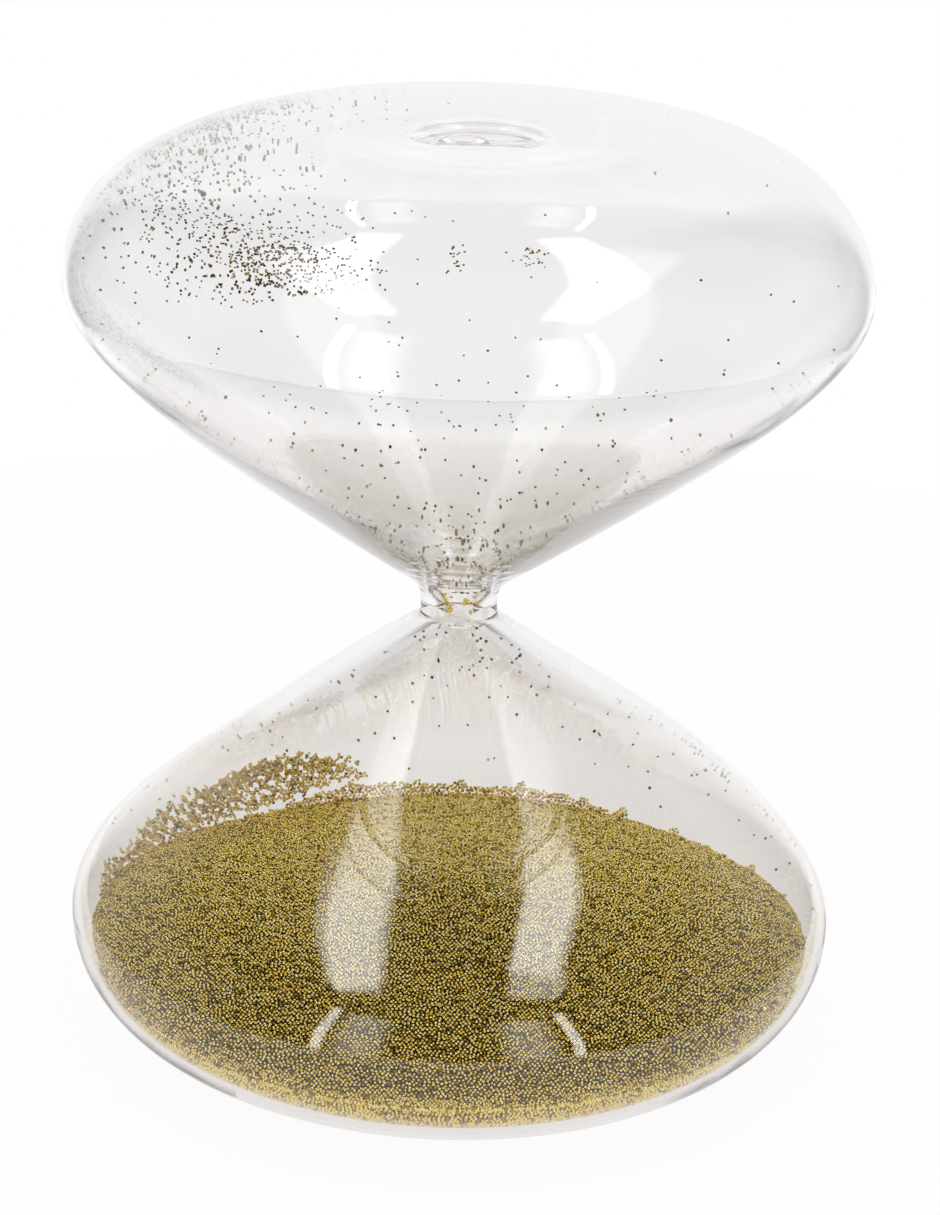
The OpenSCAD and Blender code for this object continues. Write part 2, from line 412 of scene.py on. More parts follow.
class Socket:
    """A number that comes out of a node, which works in Python expressions."""

    def __init__(self, board: "Board", out: NodeSocket) -> None:
        """Wraps an output socket of one of the board's nodes."""
        self.board = board
        self.out = out

    def _maths(self, operation: str, *values: Value) -> "Socket":
        """A Math node on these values."""
        made = self.board.node("Math", {"operation": operation}, dict(enumerate(values)))
        return Socket(self.board, made.outputs[0])

    def __add__(self, other: Value) -> "Socket":
        """Sum."""
        return self._maths("ADD", self, other)

    __radd__ = __add__

    def __sub__(self, other: Value) -> "Socket":
        """Difference."""
        return self._maths("SUBTRACT", self, other)

    def __rsub__(self, other: Value) -> "Socket":
        """Difference, the other way round."""
        return self._maths("SUBTRACT", other, self)

    def __mul__(self, other: Value) -> "Socket":
        """Product."""
        return self._maths("MULTIPLY", self, other)

    __rmul__ = __mul__

    def most(self, other: Value) -> "Socket":
        """The larger of two numbers."""
        return self._maths("MAXIMUM", self, other)

    def step(self, low: float, high: float) -> "Socket":
        """A soft step from 0 at low to 1 at high."""
        values = {"Value": self, "From Min": low, "From Max": high}
        made = self.board.node("MapRange", {"interpolation_type": "SMOOTHSTEP"}, values)
        return Socket(self.board, made.outputs[0])


class Board:
    """The node tree of one material, of a lamp or of the world."""

    def __init__(self, owner: Material | Light | World) -> None:
        """Empties the owner's tree."""
        owner.use_nodes = True
        self.owner = owner
        self.tree = owner.node_tree
        self.tree.nodes.clear()

    def node(self, kind: str, settings: dict | None = None, values: dict | None = None) -> Node:
        """Adds a node.

        Args:
            kind: The node's type, without the "ShaderNode" that all begin with.
            settings: Its properties, which are set first.
            values: What its input sockets get, by name or number: a number, a colour or a link.

        Returns:
            The node.
        """
        made = self.tree.nodes.new("ShaderNode" + kind)
        for key, value in (settings or {}).items():
            setattr(made, key, value)
        for key, value in (values or {}).items():
            if isinstance(value, Socket):
                value = value.out
            if isinstance(value, NodeSocket):
                self.tree.links.new(value, made.inputs[key])
            else:
                made.inputs[key].default_value = value
        return made

    def ray(self, *kinds: Ray) -> Socket:
        """1 for rays of any of these kinds, else 0."""
        path = self.node("LightPath")
        found = [Socket(self, path.outputs[kind.value]) for kind in kinds]
        total = found[0]
        for more in found[1:]:
            total = total.most(more)
        return total

    def mirrored(self) -> Socket:
        """1 for rays that a surface has mirrored on their way, else 0."""
        depth = Socket(self, self.node("LightPath").outputs["Glossy Depth"])
        return depth.step(*NONE_OR_SOME)

    def blend(self, share: Value, first: object, second: object) -> NodeSocket:
        """A colour between two colours."""
        made = self.node("Mix", {"data_type": "RGBA"}, {0: share, 6: first, 7: second})
        return made.outputs[2]

    def noise(self, scale: float, detail: float = 2.0, rough: float = 0.5) -> Socket:
        """Noise on the piece's own coordinates, in blobs of about 1 / scale metres."""
        where = self.node("TexCoord").outputs["Object"]
        values = {"Vector": where, "Scale": scale, "Detail": detail, "Roughness": rough}
        return Socket(self, self.node("TexNoise", None, values).outputs[0])

    def glow(self, colour: object) -> Node:
        """A shader that shines with a colour."""
        return self.node("Emission", None, {"Color": colour, "Strength": 1.0})

    def mix(self, share: Value, first: Node, second: Node) -> Node:
        """A shader between two shaders."""
        values = {0: share, 1: first.outputs[0], 2: second.outputs[0]}
        return self.node("MixShader", None, values)

    def finish(self, shader: Node, kind: str = "OutputMaterial") -> Material | Light | World:
        """Links a shader to the tree's output and gives the tree's owner."""
        self.node(kind, None, {"Surface": shader.outputs[0]})
        return self.owner

    def principled(self, values: dict) -> Material:
        """Finishes a material with a Principled shader with these values."""
        return self.finish(self.node("BsdfPrincipled", None, values))


@dataclass(frozen=True)
class ClearGlass:
    """Blown soda glass: clear, with faint ripples from the blowing."""

    tint: Colour = (0.988, 0.986, 0.984, 1.0)
    ior: float = 1.5
    ripple: float = 0.00003
    ripple_scale: float = 90.0

    def material(self) -> Material:
        """Makes the finish."""
        board = Board(bpy.data.materials.new("clear_blown_glass"))
        height = board.noise(self.ripple_scale, 1.0, 0.4)
        bump = board.node("Bump", None, {"Height": height, "Strength": 1, "Distance": self.ripple})
        return board.principled(
            {
                "Base Color": self.tint,
                "Roughness": 0.0,
                "IOR": self.ior,
                "Transmission Weight": 1.0,
                "Normal": bump.outputs[0],
            }
        )


@dataclass(frozen=True)
class Gold:
    """Thin gold on a glass bead."""

    name: str
    colour: Colour
    roughness: float

    def material(self) -> Material:
        """Makes the finish."""
        return Board(bpy.data.materials.new(self.name)).principled(
            {"Base Color": self.colour, "Metallic": 1.0, "Roughness": self.roughness}
        )


@dataclass(frozen=True)
class PaintedShadeGold:
    """What shows between the outer beads: gold painted dark as shade, standing in for the shaded
    depth of the charge.
    """

    light: Colour = (0.16, 0.10, 0.006, 1.0)
    dark: Colour = (0.04, 0.022, 0.001, 1.0)
    scale: float = 1400.0
    edge: Span = (0.4, 0.65)
    metallic: float = 0.6
    roughness: float = 0.6

    def material(self) -> Material:
        """Makes the finish."""
        board = Board(bpy.data.materials.new("painted_shade_gold"))
        spots = board.noise(self.scale, 1.0)
        base = board.blend(spots.step(*self.edge), self.dark, self.light)
        return board.principled(
            {"Base Color": base, "Metallic": self.metallic, "Roughness": self.roughness}
        )


# ---- glass ----


@dataclass
class Vessel:
    """The glass: two bulbs, the neck between them and the melted seal, fused into one piece.

    Heights in the waves, the flat rim and the calm zone count in wave units from the neck.
    """

    shape: GlassShape
    finish: ClearGlass
    turns: int = 176
    seal_radius: float = 0.0045
    seal_height: float = 0.0015
    seal_offset: float = 0.003
    crown_zone: float = 0.08
    recess_front: Span = (-0.004, 0.011)
    recess_back: float = 0.001
    recess_reach: Span = (0.024, 0.018)
    wave: float = 0.0004
    waves: tuple[Wave, ...] = (
        Wave(1.0, 3, 0.7),
        Wave(0.7, 7, -1.3, 1.0),
        Wave(0.5, 2, 2.9, 2.0),
        Wave(0.35, 11, 2.6, 4.0),
    )
    fine_wave: Wave = Wave(0.12, 5, 1.1)
    wave_unit: float = 0.01
    wave_from: Span = (0.012, 0.035)
    flat_rim: Span = (8.8, 0.6)
    calm: float = 0.65
    calm_from: Span = (4.7, 5.2)
    phases: Span = (0.0, 0.9)

    def on_crown(self, points: Array, move: Array) -> Array:
        """A move of the points, at the top end of the glass alone."""
        return np.where(points[:, 2] > self.shape.neck_z + self.crown_zone, move, 0.0)

    def easing(self, points: Array, edge: float) -> Array:
        """How far the floor of the recess of this radius rises, until it ends flush in front."""
        inward = edge - across(points)
        depth = self.shape.upper.recess * smooth_step(inward, 0, self.shape.recess_side)
        return self.on_crown(points, depth * smooth_step(-points[:, 1], *self.recess_front))

    def set_back(self, points: Array) -> Array:
        """How far behind the outer side of the recess its inner side lies, at each point."""
        near = smooth_step(across(points), *self.recess_reach)
        return self.on_crown(points, self.recess_back * near)

    def seal(self, points: Array) -> Array:
        """Height of the melted button over each point of the recess."""
        away = np.hypot(points[:, 0] + self.seal_offset, points[:, 1]) / self.seal_radius
        return self.on_crown(points, self.seal_height * (1 - np.clip(away, 0, 1) ** 2))

    def hand(self, points: Array, phase: float) -> Array:
        """How far in the uneven wall sits at each point, always inwards.

        Args:
            points: Places on a wall.
            phase: Turns the finer part of the pattern, so that the two sides of a wall differ.

        Returns:
            A distance for each point.
        """
        height = (points[:, 2] - self.shape.neck_z) / self.wave_unit
        waves = (*self.waves, replace(self.fine_wave, start=self.fine_wave.turn * phase))
        most = sum(wave.size for wave in waves)
        depth = self.wave * (most - waved(waves, direction(points), height)) / (2 * most)
        fade = smooth_step(across(points), *self.wave_from)
        flat = 1 - hump(np.abs(height), *self.flat_rim)
        return depth * fade * flat * (1 - self.calm * smooth_step(-height, *self.calm_from))

    def worked(self, points: Array, phase: float) -> Array:
        """A turned wall's points as the hand leaves them: uneven, and swayed to the right."""
        share = 1 - self.hand(points, phase) / np.maximum(across(points), TINY)
        moved = points.copy()
        moved[:, 0] = points[:, 0] * share + self.shape.sway(points[:, 2])
        moved[:, 1] = points[:, 1] * share
        return moved

    def build(self) -> Object:
        """Models the vessel and puts it on its body."""
        outer = spun("vessel", self.shape.whole(self.shape.outside), self.turns)
        points = corners(outer)
        points[:, 2] += self.seal(points) + self.easing(points, self.shape.recess_edge(0.0))
        place(outer, self.worked(points, self.phases[0]))
        inner = spun("vessel_inside", self.shape.whole(self.shape.inside), self.turns)
        points = corners(inner)
        points[:, 2] += self.easing(points, self.shape.recess_edge(self.shape.crown_wall))
        points[:, 1] += self.set_back(points)
        place(inner, self.worked(points, self.phases[1]))
        turn_inside_out(inner)
        vessel = joined(outer, inner)
        shade_smooth(vessel)
        vessel.data.materials.append(self.finish.material())
        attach(vessel, Body.GLASS)
        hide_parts("upper_bulb", "throat", "lower_bulb", "filling_seal")
        return vessel


# ---- beads ----


def close_pairs(points: Array, reach: float) -> tuple[Array, Array]:
    """Every pair of points closer than the reach, found cell by cell.

    Args:
        points: One point per row.
        reach: The distance.

    Returns:
        The numbers of the first and of the second point of each pair.
    """
    cells = np.floor((points - points.min(0)) / reach).astype(np.int64) + 1
    size = cells.max(0) + 2
    keys = (cells[:, 0] * size[1] + cells[:, 1]) * size[2] + cells[:, 2]
    order = np.argsort(keys, kind="stable")
    keys = keys[order]
    firsts, seconds = [], []
    for step in product((0, 1), (-1, 0, 1), (-1, 0, 1)):
        if step < (0, 0, 0):
            continue
        other = keys + (step[0] * size[1] + step[1]) * size[2] + step[2]
        start = np.searchsorted(keys, other, "left")
        stop = np.searchsorted(keys, other, "right")
        if not any(step):
            start = np.arange(len(keys)) + 1
        for k in range(int(max((stop - start).max(), 0))):
            near = np.nonzero(start + k < stop)[0]
            a, b = order[near], order[start[near] + k]
            apart = points[a] - points[b]
            hit = np.einsum("ij,ij->i", apart, apart) < reach * reach
            firsts.append(a[hit])
            seconds.append(b[hit])
    return np.concatenate(firsts), np.concatenate(seconds)


def shaken(
    points: Array,
    reach: float,
    rounds: int,
    settle: Callable[[Array], Array],
    share: float = 0.42,
) -> Array:
    """Shakes points apart until they lie about one reach from each other.

    Args:
        points: One point per row.
        reach: The distance that neighbours push for.
        rounds: How many times they push.
        settle: Puts points back on their surface.
        share: How much of what is missing to the reach each of two neighbours gives way.

    Returns:
        The moved points.
    """
    for _ in range(rounds):
        a, b = close_pairs(points, reach)
        apart = points[a] - points[b]
        length = np.maximum(np.linalg.norm(apart, axis=1), TINY)
        push = apart * (share * (reach - length) / length)[:, None]
        moved = points.copy()
        for axis in range(3):
            moved[:, axis] += np.bincount(a, push[:, axis], len(points))
            moved[:, axis] -= np.bincount(b, push[:, axis], len(points))
        points = settle(moved)
    return points


@dataclass
class BeadKind:
    """One bead as it is modelled once, and the finishes that its copies take."""

    radius: float = 0.00036
    uneven: float = 0.08
    golds: tuple[Gold, ...] = (
        Gold("pale_gold", (1.0, 0.84, 0.31, 1.0), 0.18),
        Gold("gold", (0.95, 0.71, 0.11, 1.0), 0.20),
        Gold("old_gold", (0.42, 0.29, 0.012, 1.0), 0.28),
    )
    shares: tuple[float, ...] = (0.5, 0.34, 0.16)
    materials: list[Material] = field(default_factory=list)
    points: Array | None = None
    faces: Array | None = None

    def model(self) -> None:
        """Models the one bead, of radius 1, and makes the finishes."""
        bead = added(bpy.ops.mesh.primitive_ico_sphere_add, subdivisions=1, radius=1.0)
        self.points = corners(bead)
        self.faces = np.array([p.vertices[:] for p in bead.data.polygons])
        bpy.data.objects.remove(bead)
        self.materials = [gold.material() for gold in self.golds]

    def copies(self, name: str, centres: Array, draw: Generator) -> Object:
        """One object that holds a turned copy of the bead at each centre.

        Args:
            name: The object's name.
            centres: One centre per row.
            draw: Where the turns, sizes and finishes come from.

        Returns:
            The object, smooth, with its finishes.
        """
        count = len(centres)
        q = draw.normal(size=(count, 4))
        w, x, y, z = (q / np.linalg.norm(q, axis=1, keepdims=True)).T
        turns = np.stack(
            [
                np.stack([1 - 2 * (y * y + z * z), 2 * (x * y - z * w), 2 * (x * z + y * w)], 1),
                np.stack([2 * (x * y + z * w), 1 - 2 * (x * x + z * z), 2 * (y * z - x * w)], 1),
                np.stack([2 * (x * z - y * w), 2 * (y * z + x * w), 1 - 2 * (x * x + y * y)], 1),
            ],
            1,
        )
        sizes = self.radius * (1 + self.uneven * draw.uniform(-1, 1, count))
        points = np.einsum("nij,kj->nki", turns, self.points) * sizes[:, None, None]
        points = (points + centres[:, None, :]).reshape(-1, 3)
        faces = self.faces[None] + (np.arange(count) * len(self.points))[:, None, None]
        mesh = bpy.data.meshes.new(name)
        mesh.from_pydata(points.tolist(), [], faces.reshape(-1, 3).tolist())
        kinds = draw.choice(len(self.golds), count, p=self.shares)
        mesh.polygons.foreach_set("material_index", np.repeat(kinds, len(self.faces)))
        for material in self.materials:
            mesh.materials.append(material)
        mesh.shade_smooth()
        made = bpy.data.objects.new(name, mesh)
        bpy.context.scene.collection.objects.link(made)
        log.info("%s: %d beads", name, count)
        return made


@dataclass
class Heap:
    """The charge of beads in the lower bulb: its outer beads, and a core behind them painted dark
    as shade.

    Depth, proud, sink, inset and lift are shares of a bead's radius, and jitter, turn and rise
    of the spacing. Clumps stand up to one clump above the edge. Bearings are in degrees.
    """

    shape: GlassShape
    bead: BeadKind
    core: PaintedShadeGold
    gap: float = 0.0002
    below: float = 0.007
    mound: float = 0.012
    rounding: float = 0.016
    lean: float = math.radians(1.5)
    clump: float = 0.0014
    clump_azimuth: float = math.radians(20)
    spacing: float = 0.0008
    push: float = 1.02
    depth: float = 0.9
    proud: float = 0.4
    core_depth: float = 0.0007
    rounds: int = 8
    jitter: float = 0.45
    passes: int = 3
    quarters: int = 4
    bank_at: tuple[float, ...] = (54, 66, 74, 82, 94, 104, 112, 120, 134)
    bank: tuple[float, ...] = (0, 0.0016, 0.0028, 0.0022, 0.0024, 0.0034, 0.0030, 0.0012, 0)
    behind: float = 0.00055
    behind_turn: Span = (0.2, 0.8)
    behind_rise: Span = (-0.5, 0.3)
    behind_share: float = 0.8
    clumps: tuple[Wave, ...] = (Wave(1.0, 37, start=1), Wave(0.8, 61), Wave(0.7, 97, start=2))
    clump_level: float = 0.5
    wall_sink: float = 1.2
    wall_above: float = 0.012
    side_from: float = 1.3
    core_inset: float = 1.15
    core_lift: float = 0.6
    core_seam: float = 0.0005
    core_rings: int = 40
    core_turns: int = 96
    top_seed: int = 11
    side_seed: int = 12
    first_seed: int = 100

    def __post_init__(self) -> None:
        """Works out the space that the charge fills."""
        self.cavity = self.shape.lower.radius - self.shape.wall - self.gap
        self.rim_z = self.shape.neck_z - self.shape.lower.equator - self.below
        self.edge = math.hypot(self.cavity, self.rounding)
        self.rise = self.mound / (self.edge - self.rounding)
        self.tilt = np.array(Matrix.Rotation(self.lean, 3, "X"))
        wall = self.shape.beside(self.shape.lower, self.gap + self.bead.radius)
        wall = wall[wall[:, 1] > self.shape.lower.equator - self.wall_above]
        self.wall = np.column_stack([wall[:, 0], self.shape.neck_z - wall[:, 1]])
        self.wall_angle = np.arctan2(self.rim_z - self.wall[:, 1], self.wall[:, 0])
        self.side = self.wall[self.wall[:, 0] > self.side_from * self.shape.ring_radius]

    def top(self, x: Array, y: Array) -> Array:
        """Height of the heap's surface over a place."""
        guess = np.zeros_like(x)
        for _ in range(self.passes):
            local = np.stack([x, y, guess], 1) @ self.tilt
            local[:, 2] = self.rise * (self.edge - np.hypot(across(local), self.rounding))
            guess = (local @ self.tilt.T)[:, 2]
        return self.rim_z + guess

    def banked(self, points: Array) -> Array:
        """Height up to which beads stand against the glass, at each point on it."""
        bank = np.interp(bearing(points), self.bank_at, self.bank)
        return self.top(points[:, 0], points[:, 1]) + bank

    def backed(self, points: Array, draw: Generator) -> Array:
        """These beads on the glass, and a looser layer of beads behind them."""
        r = across(points)
        turn = self.spacing * draw.uniform(*self.behind_turn, len(points)) / r
        x, y = (points[:, :2] * (1 - self.behind / r)[:, None]).T
        z = points[:, 2] + draw.uniform(*self.behind_rise, len(points)) * self.spacing
        layer = np.column_stack([x - turn * y, y + turn * x, z])
        return np.vstack([points, layer[draw.random(len(layer)) < self.behind_share]])

    def on_top(self, points: Array) -> Array:
        """Points put back on the upper surface, inside the glass."""
        z = self.top(points[:, 0], points[:, 1]) - self.bead.radius
        limit = np.interp(-z, -self.side[:, 1], self.side[:, 0])
        share = np.minimum(1, limit / np.maximum(across(points), TINY))
        x, y = points[:, 0] * share, points[:, 1] * share
        return np.column_stack([x, y, self.top(x, y) - self.bead.radius])

    def ragged(self, points: Array) -> Array:
        """How far small clumps of beads stand above the heap's edge, by direction."""
        a = direction(points)
        wave = np.maximum(waved(self.clumps, a) - self.clump_level, 0)
        return self.clump * wave * (0.5 + 0.5 * np.cos(a - self.clump_azimuth))

    def on_wall(self, points: Array) -> Array:
        """Points put back against the glass, under the upper surface."""
        lowest, highest = self.wall_angle.min(), self.wall_angle.max()
        down = np.clip(np.arctan2(self.rim_z - points[:, 2], across(points)), lowest, highest)
        r, z = (np.interp(down, self.wall_angle, line) for line in self.wall.T)
        return around(r, direction(points), z)

    def top_beads(self, draw: Generator) -> Array:
        """Centres of the beads on the upper surface."""
        step = self.spacing
        row = step * math.sqrt(3) / 2
        columns, rows = int(self.cavity / step) + 2, int(self.cavity / row) + 2
        i, j = np.meshgrid(np.arange(-columns, columns + 1), np.arange(-rows, rows + 1))
        x = (i + 0.5 * (j % 2)) * step
        y = j * row
        start = np.column_stack([x.ravel(), y.ravel(), np.zeros(x.size)])
        start[:, :2] += draw.uniform(-self.jitter, self.jitter, (len(start), 2)) * step
        start = start[across(start) < self.cavity - self.bead.radius]
        found = shaken(self.on_top(start), self.push * step, self.rounds, self.on_top)
        found[:, 2] -= self.depth * self.bead.radius * (draw.random(len(found)) - self.proud)
        return found

    def lattice(self, draw: Generator) -> Array:
        """Centres of beads that lie close together all over the glass."""
        step = self.spacing
        lengths = np.linalg.norm(np.diff(self.wall, axis=0), axis=1)
        along = np.concatenate([[0], np.cumsum(lengths)])
        rows = []
        for s in np.arange(0, along[-1], step * math.sqrt(3) / 2):
            r, z = (np.interp(s, along, line) for line in self.wall.T)
            count = max(1, int(TURN * r / step))
            rows.append(around(r, TURN * (np.arange(count) / count + draw.random()), z))
        start = np.vstack(rows)
        start += draw.uniform(-self.jitter, self.jitter, start.shape) * step
        return shaken(self.on_wall(start), self.push * step, self.rounds, self.on_wall)

    def wall_beads(self, draw: Generator) -> Array:
        """Centres of the beads of the heap that lie against the glass."""
        found = self.lattice(draw)
        limit = self.banked(found) - self.wall_sink * self.bead.radius + self.ragged(found)
        found = found[found[:, 2] < limit]
        high = found[:, 2] > self.top(found[:, 0], found[:, 1]) - self.bead.radius
        return np.vstack([found[~high], self.backed(found[high], draw)])

    def core_outline(self) -> Array:
        """The outline of the charge's depth, a bead's radius inside its surfaces."""
        inset = self.core_inset * self.bead.radius
        r = np.linspace(0, self.cavity, self.core_rings)
        top = np.column_stack([r, self.top(r * 0, -r) - self.core_depth])
        wall = self.wall.copy()
        wall[:, 0] -= inset
        wall[:, 1] += inset * self.core_lift
        wall = wall[wall[:, 0] > 0]
        limit = np.interp(wall[:, 0], top[:, 0], top[:, 1])
        wall = wall[wall[:, 1] < limit - self.core_seam]
        top = top[top[:, 0] < wall[0, 0]]
        return np.vstack([top, wall, [[0.0, wall[-1, 1]]]])

    def build(self) -> list[Object]:
        """Models the charge and puts it on its body."""
        core = spun("bead_core", self.core_outline(), self.core_turns)
        shade_smooth(core)
        # The core's finish is painted shade: dark gold for the shaded depth between the outer
        # beads.
        core.data.materials.append(self.core.material())
        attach(core, Body.CHARGE)
        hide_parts("bead_heap")
        made = [core]
        for name, centres in (
            ("heap_top", self.top_beads(default_rng(self.top_seed))),
            ("heap_side", self.wall_beads(default_rng(self.side_seed))),
        ):
            quarter = np.floor((direction(centres) / TURN + 0.5) * self.quarters).astype(int)
            for number in range(self.quarters):
                mine = centres[np.clip(quarter, 0, self.quarters - 1) == number]
                draw = default_rng(self.first_seed + number)
                piece = self.bead.copies(f"{name}_{number + 1}", mine, draw)
                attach(piece, Body.CHARGE)
                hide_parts("bead_heap")
                made.append(piece)
        return made


@dataclass
class Drift:
    """Beads left standing against the wall above the heap by an earlier, steeper level."""

    heap: Heap
    crest_at: tuple[float, ...] = (97, 104, 110, 119, 127, 135, 145, 155, 167, 173, 178)
    crest: tuple[float, ...] = (
        *(-0.066, -0.0606, -0.056, -0.052, -0.0533, -0.0562),
        *(-0.0603, -0.0642, -0.0634, -0.067, -0.072),
    )
    waves: tuple[Wave, ...] = (
        Wave(1.0, 1.9, 1.3),
        Wave(1.0, -1.3, 2.2, 1),
        Wave(0.8, 2.9, -2.3, 2),
        Wave(0.6, 0.31, 0.4, 4),
    )
    wave_units: Span = (70, 1000)
    ragged: float = 0.0012
    ragged_shares: Span = (0.6, 0.35)
    bare: float = 0.0009
    bare_patchy: float = 0.0004
    bare_from: Span = (142, 128)
    hole: float = -1.3
    seed: int = 21

    def pattern(self, points: Array) -> Array:
        """A patchy field over the wall, about -2 to 2, with patches of a few beads."""
        per_angle, per_height = self.wave_units
        return waved(self.waves, direction(points) * per_angle, points[:, 2] * per_height)

    def build(self) -> Object:
        """Models the drift and puts it on its body."""
        heap, draw = self.heap, default_rng(self.seed)
        found = heap.lattice(draw)
        azimuth = bearing(found)
        level = heap.shape.neck_z + np.interp(azimuth, self.crest_at, self.crest, -1, -1)
        patchy = self.pattern(found)
        even, single = self.ragged_shares
        level += self.ragged * (even * patchy + draw.normal(size=len(found)) * single)
        above = found[:, 2] - heap.banked(found)
        edge = self.bare * smooth_step(azimuth, *self.bare_from) + self.bare_patchy * patchy
        keep = (found[:, 2] < level) & (above > edge) & (above > -heap.bead.radius)
        keep &= patchy > self.hole
        piece = heap.bead.copies("wall_drift", heap.backed(found[keep], draw), draw)
        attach(piece, Body.CHARGE)
        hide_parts("bead_drift")
        return piece


@dataclass(frozen=True)
class Patch:
    """A patch of beads that cling to one bulb, by azimuth in degrees and distance from the neck."""

    count: int
    azimuth: float
    spread: float
    low: float
    high: float
    bunch: float = 1.0


@dataclass
class ClingingBeads:
    """Single beads held to a bulb's wall by static."""

    shape: GlassShape
    bead: BeadKind
    name: str
    node: str
    upper: bool
    patches: tuple[Patch, ...]
    seed: int
    gap: float = 0.00012

    def build(self) -> Object:
        """Models the beads and puts them on the glass."""
        draw = default_rng(self.seed)
        bulb = self.shape.upper if self.upper else self.shape.lower
        line = self.shape.beside(bulb, self.bead.radius * (1 + self.bead.uneven) + self.gap)
        line = line[: int(np.argmax(line[:, 1])) + 1]
        groups = []
        for patch in self.patches:
            z = patch.low + (patch.high - patch.low) * draw.random(patch.count) ** patch.bunch
            a = np.radians(patch.azimuth + patch.spread * draw.normal(size=patch.count) / 2)
            r = np.interp(z, line[:, 1], line[:, 0])
            groups.append(around(r, a, z))
        centres = np.vstack(groups)
        centres[:, 2] = self.shape.neck_z + (1 if self.upper else -1) * centres[:, 2]
        centres[:, 0] += self.shape.sway(centres[:, 2])
        piece = self.bead.copies(self.name, centres, draw)
        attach(piece, Body.GLASS)
        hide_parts(self.node)
        return piece


# ---- studio ----


@dataclass(frozen=True)
class Lamp:
    """A soft box: a rectangular lamp that faces the neck of the glass, with soft edges.

    Its brightness goes from full below fade[0] to the share far above fade[1], which are
    distances from its middle along its length.
    """

    place: tuple[float, float, float]
    width: float
    height: float
    radiance: float
    soft: float = 0.3
    far: float = 1.0
    fade: Span = (0.0, 0.1)
    ends: Span = (0.42, 0.5)

    def glow(self, lamp: Light, flat: bool) -> None:
        """Gives the lamp its soft edges and its fade."""
        board = Board(lamp)
        spot = board.node("NewGeometry").outputs["Position"]
        gap = board.node("VectorMath", {"operation": "SUBTRACT"}, {0: spot, 1: self.place})
        parts = board.node("SeparateXYZ", None, {0: gap.outputs[0]}).outputs
        aside, along = Socket(board, parts[0]), Socket(board, parts[1 if flat else 2])
        inner = 0.5 - self.soft
        sides = 1 - aside.most(aside * -1).step(inner * self.width, 0.5 * self.width)
        ends = 1 - along.most(along * -1).step(*(end * self.height for end in self.ends))
        level = 1 - along.step(*self.fade) * (1 - self.far)
        colour = board.blend(sides * ends * level, BLACK, WHITE)
        board.finish(board.glow(colour), "OutputLight")

    def build(self, target: Vector, flat: bool) -> None:
        """Makes the lamp.

        Args:
            target: The point that it faces.
            flat: Whether it hangs level instead.
        """
        lamp = added(bpy.ops.object.light_add, type="AREA", location=self.place)
        if not flat:
            way = target - Vector(self.place)
            way.z = 0
            lamp.rotation_euler = way.to_track_quat("-Z", "Y").to_euler()
        lamp.data.shape = "RECTANGLE"
        lamp.data.size = self.width
        lamp.data.size_y = self.height
        lamp.data.energy = self.radiance * math.pi * self.width * self.height
        lamp.visible_camera = False
        self.glow(lamp.data, flat)


